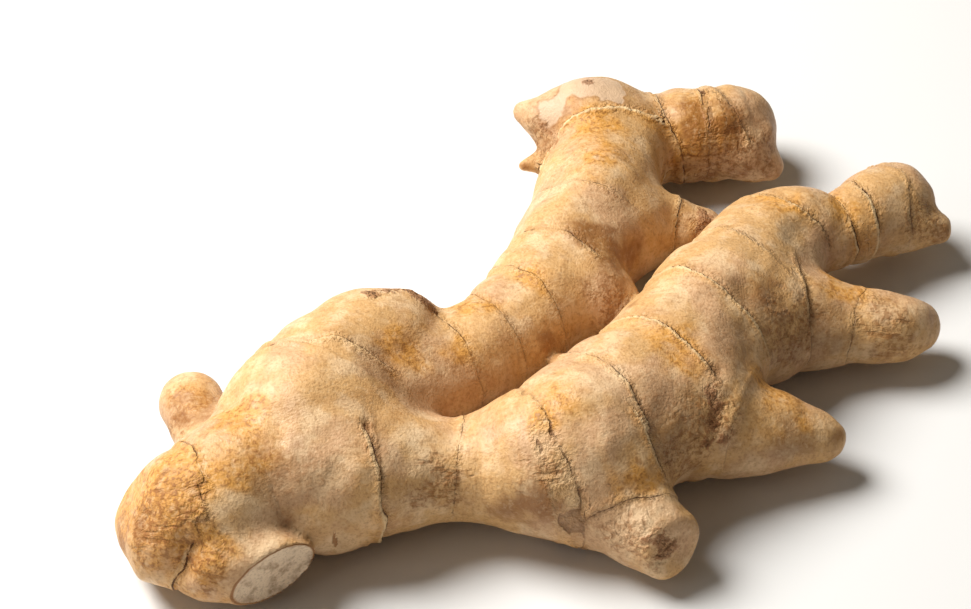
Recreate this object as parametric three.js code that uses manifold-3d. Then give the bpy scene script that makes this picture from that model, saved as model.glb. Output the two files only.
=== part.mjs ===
// A whole ginger root: one solid body, with blunt fingers that branch in a nearly flat plane and are
// ringed by leaf scars. It lies on low spots under its thick part and under both branches.
// Millimetres, +Z up. The origin is on the resting plane, under the middle of the root.
import * as THREE from "three";
import { mergeVertices } from "three/addons/utils/BufferGeometryUtils.js";
import Module from "manifold-3d";

const SKIN_COLOUR = "#d3a669";

// Each finger's spine runs from its root to its tip, as [x, y, height, radius] of points along its middle.
// scars says how far along the spine each leaf scar lies.
const FINGERS = {
  mother: {
    sides: 22,
    scars: [9.5],
    spine: [
      [-80.2, -60.6, 12.9, 11.2], [-70.2, -59.8, 15.3, 13.4], [-60.7, -51.8, 16.8, 14],
      [-50.2, -48.5, 16.7, 15.5], [-42.3, -45, 16.2, 13.8],
    ],
  },
  shoulder: {
    sides: 22,
    scars: [8, 18, 28],
    spine: [
      [-51.8, -37.6, 19.2, 16.8], [-45.3, -23.6, 20.7, 12.2], [-38.8, -16.4, 20.6, 11.6],
      [-32.3, -11.9, 20.8, 6.8],
    ],
  },
  heel_bud: {
    sides: 12,
    scars: [],
    spine: [[-66.3, -50.6, 16.7, 5], [-72.1, -37.6, 14.7, 5.3], [-75.5, -27.1, 13.7, 6.9]],
  },
  cut_stub: {
    sides: 16,
    scars: [],
    spine: [
      [-67.9, -68.1, 12.2, 8.9], [-62.6, -68.8, 11.7, 8.4], [-56.8, -70.5, 11.1, 7.5],
      [-50.8, -73.6, 10.6, 6.5],
    ],
  },
  front_branch: {
    sides: 18,
    scars: [4, 21.5, 40.5, 54, 72, 89.5, 108, 128.5, 141, 155.5],
    spine: [
      [-42.3, -49.6, 15.7, 13.2], [-26.3, -46.6, 13.7, 10.4], [-12.3, -45.4, 13.9, 11.6],
      [1.7, -44.6, 17, 16], [16.7, -29.4, 16.3, 15.8], [28.2, -13, 16.5, 15.8],
      [41.5, 12.5, 14, 13.4], [51.7, 25.2, 13.7, 11], [61.2, 26.7, 13.7, 8],
      [69.2, 32.8, 13.2, 9.3], [75.6, 38, 12.5, 9.4],
    ],
  },
  tip_nub: {
    sides: 12,
    scars: [5],
    spine: [[77.2, 33, 11.2, 6.2], [85.3, 33, 10.2, 3.4]],
  },
  upper_finger: {
    sides: 16,
    scars: [11.5, 20.5],
    spine: [
      [40.7, -2.6, 14.7, 13], [53.2, -0.1, 12.4, 9.9], [64.7, 0.4, 11.2, 8.2],
      [72.7, 0.1, 10.2, 7.2], [77, 1.4, 9.2, 5.8],
    ],
  },
  middle_finger: {
    sides: 16,
    scars: [8],
    spine: [
      [26.7, -30.1, 16.2, 13.6], [36.2, -32.8, 12.7, 9.6], [46.2, -32.4, 10.7, 7],
      [52.7, -32.6, 9.2, 5.8], [55.2, -32.6, 8.7, 4.8],
    ],
  },
  lower_finger: {
    sides: 16,
    scars: [13.5],
    spine: [
      [7.2, -46.6, 14.7, 11.5], [12.2, -54.2, 11.7, 9.2], [16.8, -59.2, 10.2, 7.8],
      [20.3, -61.7, 9.6, 7.6],
    ],
  },
  rear_branch: {
    sides: 18,
    scars: [12, 23, 38.5, 54, 68.5, 87.5],
    spine: [
      [-32.8, -27.1, 16.7, 10], [-20.8, -17.6, 15.2, 9.8], [-10.4, -6, 13.7, 11.1],
      [-0.6, 8.9, 13.7, 12.4], [6.6, 28.2, 13.8, 12.7], [11.2, 49.8, 13.4, 12.8],
      [11, 61.4, 15.6, 10.9],
    ],
  },
  rear_finger: {
    sides: 16,
    scars: [15.5, 23, 30.5],
    spine: [
      [11.2, 59, 13.7, 10.6], [23.2, 62, 12.4, 10], [34.7, 63.8, 12.5, 11.1],
      [42.3, 66.2, 12.1, 10],
    ],
  },
  rear_finger_nub: {
    sides: 10,
    scars: [],
    spine: [[43.8, 60, 10.9, 7.2], [50, 58.7, 7.3, 3.2]],
  },
  side_spur: {
    sides: 14,
    scars: [15.5, 19.5],
    spine: [
      [11.7, 28.9, 13.2, 12], [21.2, 31.7, 11.5, 7.8], [28.2, 32.6, 10.7, 5.2],
      [33.7, 33.9, 10.2, 3.6],
    ],
  },
  knob: {
    sides: 14,
    scars: [8],
    spine: [
      [-0.7, 8.3, 13.4, 10.5], [4.8, 6, 13.8, 10.2], [10.6, 4.4, 13, 7.4],
      [15.4, 4.2, 11.4, 3],
    ],
  },
  crown_spur: {
    sides: 12,
    scars: [],
    spine: [[5.2, 60.9, 18.7, 7.6], [-1.3, 60.9, 19.7, 4.6], [-5.8, 62.4, 19.7, 2.3]],
  },
  crown_bud: {
    sides: 10,
    scars: [],
    spine: [[-0.3, 53.4, 13.7, 3.2], [-6.5, 50.3, 13.9, 1.4]],
  },
  back_bud: {
    sides: 10,
    scars: [],
    spine: [[6.7, -23.6, 15.7, 6], [1.2, -16.1, 13.7, 2.5]],
  },
};

// A leaf scar is the torn foot of a scale leaf. The older skin ends in a lip, and the younger skin
// starts in a shallow groove beyond it. A thin finger has lower scars, in proportion to FULL_RADIUS.
const LIP = 0.7;
const GROOVE = 0.5;
const SCAR_EDGE = 0.35;
const SCAR_REACH = 3;
const FULL_RADIUS = 12;
// Between two scars a finger swells by this share of its radius.
const SWELL = 0.045;
// A scar isn't a plain circle: it wanders along the finger as it goes round, less near the ends.
const WANDER = 1.1;
const WANDER_FADE = 8;

// The skins of two fingers flow together within about three times this distance.
const BLEND = 2.3;
// The whole surface is gently uneven. Each wave has a length and a height.
const WAVES = [
  { length: 8.5, height: 0.8 },
  { length: 4.2, height: 0.3 },
];

// The stub was cut off with a knife. The heel has healed flat on two sides, and one finger at its end.
// Each face has its middle, the direction that it looks in, and how wide a cut was made.
const CUTS = [
  { middle: [-55.1, -71.1, 10.4], looks: [0.56, -0.81, -0.15], wide: 27 },
  { middle: [-86, -61.2, 14], looks: [-0.9, -0.05, 0.45], wide: 44 },
  { middle: [-84.7, -66.5, 11], looks: [-0.88, -0.45, -0.1], wide: 44 },
  { middle: [22.4, -65.5, 9.9], looks: [0.5, -0.8, 0.28], wide: 26 },
];

const ROW_STEP = 4;
const CAP_ROWS = 3;
const STEPS_PER_SPAN = 6;
const CUT_SIDES = 32;
const FLOOR_SIZE = 400;
const FLOOR_DEPTH = 40;
const UP = new THREE.Vector3(0, 0, 1);

const wasm = await Module();
wasm.setup();

const clamp = THREE.MathUtils.clamp;
const lerp = THREE.MathUtils.lerp;

// A spine as short straight steps, each point with its distance from the root and its radius.
function traced({ spine }) {
  const curve = (points) => new THREE.CatmullRomCurve3(points, false, "catmullrom");
  const middle = curve(spine.map(([x, y, z]) => new THREE.Vector3(x, y, z)));
  const width = curve(spine.map((point) => new THREE.Vector3(point[3], 0, 0)));
  const count = (spine.length - 1) * STEPS_PER_SPAN;
  const steps = [];
  for (let i = 0; i <= count; i++) {
    const point = middle.getPoint(i / count);
    const before = steps.at(-1);
    const along = before ? before.along + before.point.distanceTo(point) : 0;
    steps.push({ point, along, radius: width.getPoint(i / count).x });
  }
  return steps;
}

// The middle, the radius and the two cross directions at a distance along a traced spine.
function sectionAt(steps, along) {
  let i = 1;
  while (i < steps.length - 1 && steps[i].along < along) i++;
  const [a, b] = [steps[i - 1], steps[i]];
  const share = clamp((along - a.along) / (b.along - a.along), 0, 1);
  const forward = b.point.clone().sub(a.point).normalize();
  const side = UP.clone().cross(forward).normalize();
  return {
    middle: a.point.clone().lerp(b.point, share),
    radius: lerp(a.radius, b.radius, share),
    forward,
    side,
    lift: forward.clone().cross(side),
  };
}

// How a finger's radius differs from its plain one at a distance along it.
function girth(finger, radius, along) {
  const ends = [0, ...finger.scars, finger.length];
  const next = clamp(ends.findIndex((end) => end > along), 1, ends.length - 1);
  const share = clamp((along - ends[next - 1]) / (ends[next] - ends[next - 1]), 0, 1);
  let made = radius * (1 + SWELL * Math.sin(Math.PI * share));
  for (const scar of finger.scars) {
    const past = (along - scar) / SCAR_REACH;
    const scale = Math.min(1, radius / FULL_RADIUS);
    if (past > -1 && past <= 0) made += LIP * scale * (1 + past) ** 2;
    if (past > 0 && past < 1) made -= GROOVE * scale * (1 - past) ** 2;
  }
  return made;
}

function wander(finger, along, turn) {
  const fade = clamp(Math.min(along, finger.length - along) / WANDER_FADE, 0, 1);
  return WANDER * fade * (Math.sin(turn + finger.phase) + 0.5 * Math.sin(3 * turn + 0.2 * along));
}

// Where the rows of a finger's skin lie: close together at each scar, and evenly spaced between.
function rowsOf({ length, scars }) {
  const steps = [-SCAR_REACH, -SCAR_EDGE, SCAR_EDGE, SCAR_REACH];
  const marks = scars.flatMap((scar) => steps.map((step) => scar + step));
  const ends = [0, ...marks.filter((mark) => mark > 0 && mark < length), length].sort((a, b) => a - b);
  const rows = [];
  for (let i = 1; i < ends.length; i++) {
    const gap = ends[i] - ends[i - 1];
    const count = Math.max(1, Math.round(gap / ROW_STEP));
    for (let k = 0; k < count; k++) rows.push(ends[i - 1] + (gap * k) / count);
  }
  return [...rows, length];
}

// A finger's skin: rings of points along the spine, with a round cap on each end.
function skinOf(finger) {
  const { steps, length, sides } = finger;
  const rings = [];
  const cap = (along, outwards) => {
    for (let k = 1; k <= CAP_ROWS; k++) {
      const angle = (Math.PI / 2) * (k / (CAP_ROWS + 1));
      rings.push({ along, out: outwards * Math.sin(angle), narrow: Math.cos(angle) });
    }
  };
  cap(0, -1);
  rings.reverse();
  for (const along of rowsOf(finger)) rings.push({ along, out: 0, narrow: 1 });
  cap(length, 1);
  const pole = (along, outwards) => {
    const { middle, radius, forward } = sectionAt(steps, along);
    return middle.addScaledVector(forward, outwards * girth(finger, radius, along));
  };
  const points = [pole(0, -1)];
  for (const { along, out, narrow } of rings) {
    for (let i = 0; i < sides; i++) {
      const turn = (2 * Math.PI * i) / sides;
      const place = clamp(along + wander(finger, along, turn), 0, length);
      const { middle, radius, forward, side, lift } = sectionAt(steps, place);
      const reach = girth(finger, radius, along);
      middle.addScaledVector(forward, reach * out);
      middle.addScaledVector(side, reach * narrow * Math.cos(turn));
      points.push(middle.addScaledVector(lift, reach * narrow * Math.sin(turn)));
    }
  }
  points.push(pole(length, 1));
  const last = points.length - 1;
  const faces = [];
  for (let i = 0; i < sides; i++) {
    const j = (i + 1) % sides;
    faces.push(0, 1 + j, 1 + i);
    faces.push(last, last - sides + i, last - sides + j);
    for (let k = 0; k < rings.length - 1; k++) {
      const [a, b] = [1 + k * sides + i, 1 + k * sides + j];
      faces.push(a, b, b + sides, a, b + sides, a + sides);
    }
  }
  const skin = new THREE.BufferGeometry().setFromPoints(points);
  skin.setIndex(faces);
  return skin;
}

function solidFrom(vertProperties, triVerts) {
  return new wasm.Manifold(new wasm.Mesh({ numProp: 3, vertProperties, triVerts }));
}

function solidOf(geometry) {
  const bare = geometry.clone();
  bare.deleteAttribute("normal");
  bare.deleteAttribute("uv");
  const merged = mergeVertices(bare);
  return solidFrom(merged.attributes.position.array, new Uint32Array(merged.index.array));
}

// How far a point is outside a finger's skin, and which way is out.
function outside(finger, point) {
  let near = null;
  for (let i = 1; i < finger.steps.length; i++) {
    const [a, b] = [finger.steps[i - 1], finger.steps[i]];
    const run = b.point.clone().sub(a.point);
    const share = clamp(point.clone().sub(a.point).dot(run) / run.lengthSq(), 0, 1);
    const out = point.clone().sub(a.point.clone().addScaledVector(run, share));
    const far = out.length() - lerp(a.radius, b.radius, share);
    if (!near || far < near.far) near = { far, out };
  }
  return { far: near.far, out: near.out.normalize() };
}

// Moves a point of the joined skin out to where the fingers flow together, and over the gentle waves.
function settled(point) {
  const found = fingers.map((finger) => outside(finger, point));
  const nearest = Math.min(...found.map((one) => one.far));
  const slope = new THREE.Vector3();
  let sum = 0;
  for (const one of found) {
    const weight = Math.exp((nearest - one.far) / BLEND);
    sum += weight;
    slope.addScaledVector(one.out, weight);
  }
  slope.divideScalar(sum);
  const fillet = (BLEND * Math.log(sum)) / Math.max(slope.length(), 0.5);
  const [x, y, z] = point;
  const wave = WAVES.reduce((all, { length, height }) =>
    all + height * Math.sin(x / length + 1) * Math.sin(y / length + 2) * Math.cos(z / length), 0);
  return point.clone().addScaledVector(slope.normalize(), fillet + wave);
}

// A round rod whose end lies on a cut face, to take off what is past that face.
function cutter({ middle, looks, wide }) {
  const out = new THREE.Vector3(...looks).normalize();
  const rod = new THREE.CylinderGeometry(wide / 2, wide / 2, wide, CUT_SIDES).rotateX(Math.PI / 2);
  rod.applyQuaternion(new THREE.Quaternion().setFromUnitVectors(UP, out));
  rod.translate(...new THREE.Vector3(...middle).addScaledVector(out, wide / 2));
  return solidOf(rod);
}

const fingers = Object.values(FINGERS).map((finger, index) => {
  const steps = traced(finger);
  return { ...finger, steps, length: steps.at(-1).along, phase: 2.4 * index };
});

const joined = fingers.map((finger) => solidOf(skinOf(finger))).reduce((all, one) => all.add(one));
const rough = joined.getMesh();
const soft = new Float32Array(rough.vertProperties.length);
for (let i = 0; i < soft.length; i += 3) {
  settled(new THREE.Vector3().fromArray(rough.vertProperties, i)).toArray(soft, i);
}
const floor = new THREE.BoxGeometry(FLOOR_SIZE, FLOOR_SIZE, FLOOR_DEPTH).translate(0, 0, -FLOOR_DEPTH / 2);
const body = solidFrom(soft, rough.triVerts).subtract(solidOf(floor));
const cut = CUTS.reduce((all, face) => all.subtract(cutter(face)), body).getMesh();

const shape = new THREE.BufferGeometry();
shape.setAttribute("position", new THREE.BufferAttribute(cut.vertProperties, 3));
shape.setIndex(new THREE.BufferAttribute(cut.triVerts, 1));
const skin = new THREE.MeshStandardMaterial({ color: SKIN_COLOUR, roughness: 0.6, metalness: 0 });
const root = new THREE.Mesh(shape, skin);
root.name = "ginger_root";

const part = new THREE.Group();
part.add(root);
export default part;
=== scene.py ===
"""A whole ginger root in its dried cork skin, on a pale floor in soft light.

The skin is a fine mesh grown over the root's solid. It follows the same finger spines, and adds the
ragged leaf scars, lumps, wrinkles, dents and healed wounds that the photograph shows.
"""

import math
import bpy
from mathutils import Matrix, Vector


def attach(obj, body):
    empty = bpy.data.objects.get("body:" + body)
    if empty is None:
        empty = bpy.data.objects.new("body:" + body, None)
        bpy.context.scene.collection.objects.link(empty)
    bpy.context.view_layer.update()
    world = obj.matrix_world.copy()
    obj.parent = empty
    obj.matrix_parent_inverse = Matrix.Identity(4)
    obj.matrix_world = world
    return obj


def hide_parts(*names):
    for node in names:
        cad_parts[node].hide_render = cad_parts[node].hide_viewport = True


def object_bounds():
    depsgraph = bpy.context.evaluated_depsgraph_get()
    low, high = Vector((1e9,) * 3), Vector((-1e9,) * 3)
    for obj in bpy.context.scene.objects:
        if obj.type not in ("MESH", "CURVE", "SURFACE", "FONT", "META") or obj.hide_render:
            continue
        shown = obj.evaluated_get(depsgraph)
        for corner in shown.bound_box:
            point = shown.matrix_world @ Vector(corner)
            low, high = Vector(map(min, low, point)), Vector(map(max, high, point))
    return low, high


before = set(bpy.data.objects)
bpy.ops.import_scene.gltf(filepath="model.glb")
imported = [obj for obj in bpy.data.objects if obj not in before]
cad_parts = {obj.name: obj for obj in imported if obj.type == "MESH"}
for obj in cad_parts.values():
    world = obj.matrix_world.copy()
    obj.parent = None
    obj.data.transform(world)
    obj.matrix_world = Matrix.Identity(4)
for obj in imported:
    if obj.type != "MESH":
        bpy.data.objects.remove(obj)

from concurrent.futures import ThreadPoolExecutor
from itertools import product

import bmesh
import bpy
import numpy as np
from bpy.props import FloatProperty, FloatVectorProperty, IntProperty, PointerProperty
from bpy.types import Operator, Panel, PropertyGroup
from mathutils import Vector

bl_info = {
    "name": "Ginger root",
    "version": (1, 0, 0),
    "blender": (4, 5, 0),
    "location": "3D View > Sidebar > Ginger",
    "description": "Grows a fresh ginger root's skin over its solid, and sets a soft studio round it",
    "category": "Add Mesh",
}

MM = 0.001
NODE = "ginger_root"
CAD_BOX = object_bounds()

# The photograph's frame in pixels, and the camera that sees the root as it does.
PHOTO_WIDE = 971
PHOTO_HIGH = 609
CAMERA_LENS = 100.0
CAMERA_SENSOR = 36.0
CAMERA_TILT = math.radians(42)
CAMERA_PLACE = (-15.07 * MM, -426.34 * MM, 400.74 * MM)

# The fingers of the root. Each spine runs from its root to its tip, as points of x, y, height and
# radius in millimetres.
SPINES = {
    "mother": (
        (-80.2, -60.6, 12.9, 11.2), (-70.2, -59.8, 15.3, 13.4), (-60.7, -51.8, 16.8, 14),
        (-50.2, -48.5, 16.7, 15.5), (-42.3, -45, 16.2, 13.8),
    ),
    "shoulder": (
        (-51.8, -37.6, 19.2, 16.8), (-45.3, -23.6, 20.7, 12.2), (-38.8, -16.4, 20.6, 11.6),
        (-32.3, -11.9, 20.8, 6.8),
    ),
    "heel_bud": ((-66.3, -50.6, 16.7, 5), (-72.1, -37.6, 14.7, 5.3), (-75.5, -27.1, 13.7, 6.9)),
    "cut_stub": (
        (-67.9, -68.1, 12.2, 8.9), (-62.6, -68.8, 11.7, 8.4), (-56.8, -70.5, 11.1, 7.5),
        (-50.8, -73.6, 10.6, 6.5),
    ),
    "front_branch": (
        (-42.3, -49.6, 15.7, 13.2), (-26.3, -46.6, 13.7, 10.4), (-12.3, -45.4, 13.9, 11.6),
        (1.7, -44.6, 17, 16), (16.7, -29.4, 16.3, 15.8), (28.2, -13, 16.5, 15.8),
        (41.5, 12.5, 14, 13.4), (51.7, 25.2, 13.7, 11), (61.2, 26.7, 13.7, 8),
        (69.2, 32.8, 13.2, 9.3), (75.6, 38, 12.5, 9.4),
    ),
    "tip_nub": ((77.2, 33, 11.2, 6.2), (85.3, 33, 10.2, 3.4)),
    "upper_finger": (
        (40.7, -2.6, 14.7, 13), (53.2, -0.1, 12.4, 9.9), (64.7, 0.4, 11.2, 8.2),
        (72.7, 0.1, 10.2, 7.2), (77, 1.4, 9.2, 5.8),
    ),
    "middle_finger": (
        (26.7, -30.1, 16.2, 13.6), (36.2, -32.8, 12.7, 9.6), (46.2, -32.4, 10.7, 7),
        (52.7, -32.6, 9.2, 5.8), (55.2, -32.6, 8.7, 4.8),
    ),
    "lower_finger": (
        (7.2, -46.6, 14.7, 11.5), (12.2, -54.2, 11.7, 9.2), (16.8, -59.2, 10.2, 7.8),
        (20.3, -61.7, 9.6, 7.6),
    ),
    "rear_branch": (
        (-32.8, -27.1, 16.7, 10), (-20.8, -17.6, 15.2, 9.8), (-10.4, -6, 13.7, 11.1),
        (-0.6, 8.9, 13.7, 12.4), (6.6, 28.2, 13.8, 12.7), (11.2, 49.8, 13.4, 12.8),
        (11, 61.4, 15.6, 10.9),
    ),
    "rear_finger": (
        (11.2, 59, 13.7, 10.6), (23.2, 62, 12.4, 10), (34.7, 63.8, 12.5, 11.1),
        (42.3, 66.2, 12.1, 10),
    ),
    "rear_finger_nub": ((43.8, 60, 10.9, 7.2), (50, 58.7, 7.3, 3.2)),
    "side_spur": (
        (11.7, 28.9, 13.2, 12), (21.2, 31.7, 11.5, 7.8), (28.2, 32.6, 10.7, 5.2),
        (33.7, 33.9, 10.2, 3.6),
    ),
    "knob": (
        (-0.7, 8.3, 13.4, 10.5), (4.8, 6, 13.8, 10.2), (10.6, 4.4, 13, 7.4), (15.4, 4.2, 11.4, 3),
    ),
    "crown_spur": ((5.2, 60.9, 18.7, 7.6), (-1.3, 60.9, 19.7, 4.6), (-5.8, 62.4, 19.7, 2.3)),
    "crown_bud": ((-0.3, 53.4, 13.7, 3.2), (-6.5, 50.3, 13.9, 1.4)),
    "back_bud": ((6.7, -23.6, 15.7, 6), (1.2, -16.1, 13.7, 2.5)),
}

# The knife cut on the stub and the two ends that healed flat: the middle of the face and the way it
# looks, how wide the cut is, and how round its edge has become, in millimetres.
CUTS = {
    "stub": ((-55.1, -71.1, 10.4), (0.56, -0.81, -0.15), 27, 0.12),
    "heel": ((-86.4, -61.2, 14), (-0.9, -0.05, 0.45), 44, 0.8),
    "heel_side": ((-85.1, -66.6, 11), (-0.88, -0.45, -0.1), 44, 0.8),
    "lower_end": ((22.4, -65.5, 9.9), (0.5, -0.8, 0.28), 26, 0.6),
}

# The leaf scars that the photograph shows: the finger, how clearly the scar is drawn, from 0 to 1,
# and pixels of the photograph that lie on it.
LEAF_SCARS = (
    ("mother", 0.4, ((197, 452), (204, 480), (203, 505), (200, 530))),
    ("mother", 0.1, ((283, 465), (287, 490))),
    ("shoulder", 0.6, ((268, 349), (290, 343), (320, 338))),
    ("front_branch", 1.0, ((368, 434), (377, 470), (381, 500), (384, 532))),
    ("front_branch", 0.4, ((464, 424), (459, 456), (452, 506))),
    ("front_branch", 0.6, ((550, 434), (567, 462), (557, 500))),
    ("front_branch", 0.7, ((605, 363), (624, 375), (633, 398), (644, 422), (654, 446))),
    ("front_branch", 1.0, (
        (640, 319), (671, 330), (700, 357), (714, 371), (724, 388), (727, 406), (725, 433),
    )),
    ("front_branch", 0.8, (
        (689, 271), (703, 276), (718, 285), (738, 304), (756, 320), (766, 347), (769, 358),
    )),
    ("front_branch", 0.6, ((712, 230), (734, 231), (751, 240), (766, 249), (776, 260))),
    ("front_branch", 0.6, ((803, 214), (816, 223), (823, 237), (828, 253))),
    ("front_branch", 0.9, ((844, 206), (850, 219), (856, 235), (855, 258))),
    ("front_branch", 0.9, ((846, 182), (860, 187), (871, 199), (876, 217), (878, 235), (877, 256))),
    ("front_branch", 0.5, ((909, 181), (910, 196), (909, 214), (914, 228), (912, 247))),
    ("rear_branch", 0.5, ((453, 327), (466, 342), (474, 365), (482, 390))),
    ("rear_branch", 0.35, ((468, 295), (483, 297), (500, 310))),
    ("rear_branch", 0.5, ((492, 270), (508, 268), (527, 271), (538, 280), (553, 301), (564, 321))),
    ("rear_branch", 0.45, ((527, 230), (544, 227), (570, 232), (587, 240), (598, 258), (611, 275))),
    ("rear_branch", 0.35, ((536, 192), (550, 187), (570, 184), (596, 186), (607, 191))),
    ("rear_branch", 1.0, ((530, 175), (534, 162), (542, 152), (551, 136), (562, 122))),
    ("rear_finger", 0.7, ((662, 108), (668, 122), (680, 147))),
    ("rear_finger", 0.5, ((700, 95), (707, 112), (711, 128), (709, 145))),
    ("rear_finger", 0.5, ((720, 91), (730, 104), (743, 117), (747, 138))),
    ("side_spur", 0.9, ((678, 204), (676, 219), (672, 240))),
    ("upper_finger", 0.8, ((806, 287), (811, 301), (810, 322), (810, 350))),
    ("upper_finger", 0.4, ((866, 289), (858, 303), (851, 339))),
    ("middle_finger", 0.3, ((727, 440), (726, 462))),
    ("lower_finger", 0.5, ((600, 512), (620, 500), (655, 500))),
    ("cut_stub", 1.0, ((200, 524), (197, 538), (184, 552), (177, 574))),
)

# Marks on the skin, by kind: the photograph's pixel at the middle of each, and its radius and how far
# it stands out, in millimetres. A form only raises or sinks the skin. The pale, dusky and umber kinds
# also paint highlights and shade into the skin's colour, as noted at each.
MARKS = {
    # The pale marks are painted highlights on lit tops, such as the cut stub's and the lower finger's,
    # laid into the skin's colour.
    "pale": (
        ((234, 523), 6.5, 0.0), ((263, 532), 5.0, 0.0), ((632, 528), 6.5, 0.0), ((410, 448), 7.0, 0.0),
        ((600, 385), 6.0, 0.0),
    ),
    "gold": (
        ((395, 342), 7.0, 0.9), ((155, 515), 12.0, 0.0), ((178, 475), 8.0, 0.3), ((205, 568), 6.0, 0.0),
        ((240, 415), 5.0, 0.0), ((250, 470), 7.0, 0.0), ((463, 352), 4.0, 0.3), ((680, 347), 6.0, 0.0),
        ((850, 294), 6.0, 0.0), ((775, 400), 8.0, 0.0), ((594, 120), 6.0, 0.0), ((605, 155), 8.0, 0.2),
        ((533, 275), 4.0, 0.0), ((474, 305), 5.0, 0.0), ((645, 480), 5.0, 0.0), ((700, 130), 8.0, 0.0),
        ((840, 205), 4.0, 0.0), ((560, 405), 5.0, 0.0), ((775, 205), 6.0, 0.0), ((127, 512), 9.0, 0.0),
        ((185, 400), 4.5, 0.0),
    ),
    # The dusky marks are partly greyish brown skin and partly painted shade: in the dimple, in the
    # heel's groove and on the hump's shaded right side.
    "dusky": (
        ((746, 294), 3.6, -1.1), ((740, 350), 6.0, -0.2), ((670, 410), 8.0, 0.0),
        ((141, 525), 4.5, 0.0), ((795, 440), 5.0, 0.0), ((380, 380), 5.0, 0.0), ((285, 472), 9.0, 0.0),
        ((196, 405), 5.0, 0.0), ((820, 330), 7.0, 0.0),
    ),
    # The umber marks are partly brown skin and partly painted shade on sides facing away from the light:
    # the rear branch's right side, the front branch's lower front and the heel's left end.
    "umber": (
        ((124, 541), 5.0, 0.0), ((540, 508), 4.5, 0.0), ((172, 416), 2.5, 0.0), ((614, 266), 7.0, -0.4),
        ((600, 240), 5.0, 0.0), ((634, 250), 4.0, -0.3), ((692, 118), 6.0, 0.0), ((735, 120), 6.0, 0.0),
        ((505, 510), 5.0, 0.0), ((560, 345), 5.0, 0.0), ((770, 300), 5.0, 0.0),
    ),
    "dark": (
        ((716, 371), 1.6, -0.5), ((904, 353), 1.6, 0.3), ((947, 226), 1.8, 0.0),
        ((181, 421), 2.0, -0.3), ((184, 562), 2.0, -0.9), ((631, 308), 2.0, 0.0),
        ((836, 437), 1.8, -0.3), ((365, 427), 1.4, -0.8), ((525, 166), 1.4, 0.0),
        ((780, 172), 2.2, 0.0),
    ),
    "torn": (
        ((711, 395), 1.7, -0.3), ((718, 408), 1.5, -0.4), ((712, 421), 1.8, -0.5),
        ((722, 436), 1.4, 0.2), ((704, 442), 1.4, 0.2), ((705, 219), 2.6, 0.4), ((697, 228), 2.0, 0.3),
        ((372, 297), 1.6, 0.3), ((386, 298), 1.8, 0.4), ((402, 300), 2.4, 1.3), ((418, 303), 2.2, 0.6),
        # The torn mark at (310, 562) is painted shade in the crevice beside the cut face.
        ((430, 312), 1.8, 0.0), ((665, 543), 3.0, -0.4), ((310, 562), 2.2, -1.4),
        ((586, 85), 1.3, -0.2),
    ),
    "peel": (
        ((592, 86), 4.5, 0.2), ((570, 90), 4.0, 0.2), ((551, 112), 3.5, 0.2), ((612, 87), 3.5, 0.0),
    ),
    "corky": (
        ((150, 530), 6.5, 0.0), ((170, 500), 5.5, 0.0), ((205, 575), 4.5, 0.0), ((176, 425), 3.0, 0.0),
        ((735, 160), 8.0, 0.0), ((440, 485), 5.0, 0.0), ((550, 480), 4.0, 0.0), ((712, 425), 6.0, 0.0),
        ((680, 460), 5.0, 0.0), ((790, 330), 6.0, 0.0), ((695, 225), 3.0, 0.0), ((930, 225), 5.0, 0.0),
        ((895, 330), 6.0, 0.0), ((540, 135), 5.0, 0.0), ((612, 310), 5.0, 0.0), ((630, 540), 5.0, 0.0),
    ),
    "form": (
        ((141, 522), 3.6, -1.5), ((121, 515), 4.0, 0.5), ((772, 130), 2.2, 0.9),
        ((933, 206), 2.0, -0.7), ((229, 400), 3.0, -1.5), ((190, 548), 2.6, -2.0),
        ((178, 572), 2.6, -1.8), ((208, 566), 5.0, 0.8), ((303, 545), 2.2, -0.8),
        ((400, 385), 6.0, 0.8), ((360, 350), 6.0, 0.6), ((363, 466), 3.2, 0.9), ((742, 205), 7.0, 0.8),
        ((800, 232), 4.0, -0.9), ((600, 262), 5.0, 0.6), ((550, 142), 3.0, -0.8),
        ((538, 160), 2.4, -0.8),
    ),
}
KINDS = [kind for kind in MARKS if kind != "form"]

# How the solid's own surface is drawn, in millimetres where it is a length. The crisp fingers have a
# tighter fillet than the others. A wave has its size and its height. The least level and the least
# steepness keep a blunt tip and a deep fold from dividing by nothing.
SPAN_STEPS = 8
SWELL = 0.045
BLEND = 2.3
CRISP_BLEND = 1.0
CRISP = ("heel_bud", "tip_nub", "rear_finger_nub", "crown_bud", "back_bud", "knob", "cut_stub")
WAVES = ((8.5, 0.8), (4.2, 0.3))
BEYOND = 99.0
NEAR_FINGER = 9.0
LEAST_LEVEL = 0.2
LEAST_STEEP = 0.5
EXPONENT_LIMIT = 60
END_GAP = 1e-3
TINY = 1e-6

# How the mesh is settled onto that surface, and how near the solid's box its points are eased back, in
# millimetres.
RELAX_ROUNDS = 3
RELAX_SHARE = 0.6
SETTLE_ROUNDS = 2
BOX_EASE = 0.8

# A leaf scar is solved as a tilted ring, and bent to go through its pixels. The cost says how much a
# tilt weighs against a pixel that the ring misses.
TILT_COST = 0.15
SCAR_BEND = 0.08

# How a leaf scar is drawn, in millimetres: how far its relief reaches, half the width of its step, and
# how far its tints reach. From this share of its reach on, it fades out.
SCAR_REACH = 3.0
SCAR_STEP = 0.4
SCAR_BAND = 4.0
SCAR_TINT = 5.0
SCAR_FADE = 0.7
LEAST_SLOPE = 0.2

# Where a leaf scar shows: where its own finger forms this share of the surface, clearer and fainter in
# turn, and lower on a finger that is slimmer than the full radius.
OWN_SHARE = (0.1, 0.38)
EVEN_CLEAR = 0.8
CLEAR_RANGE = (0.2, 1.2)
FULL_RADIUS = 12
LEAST_SLIM = 0.45

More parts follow.
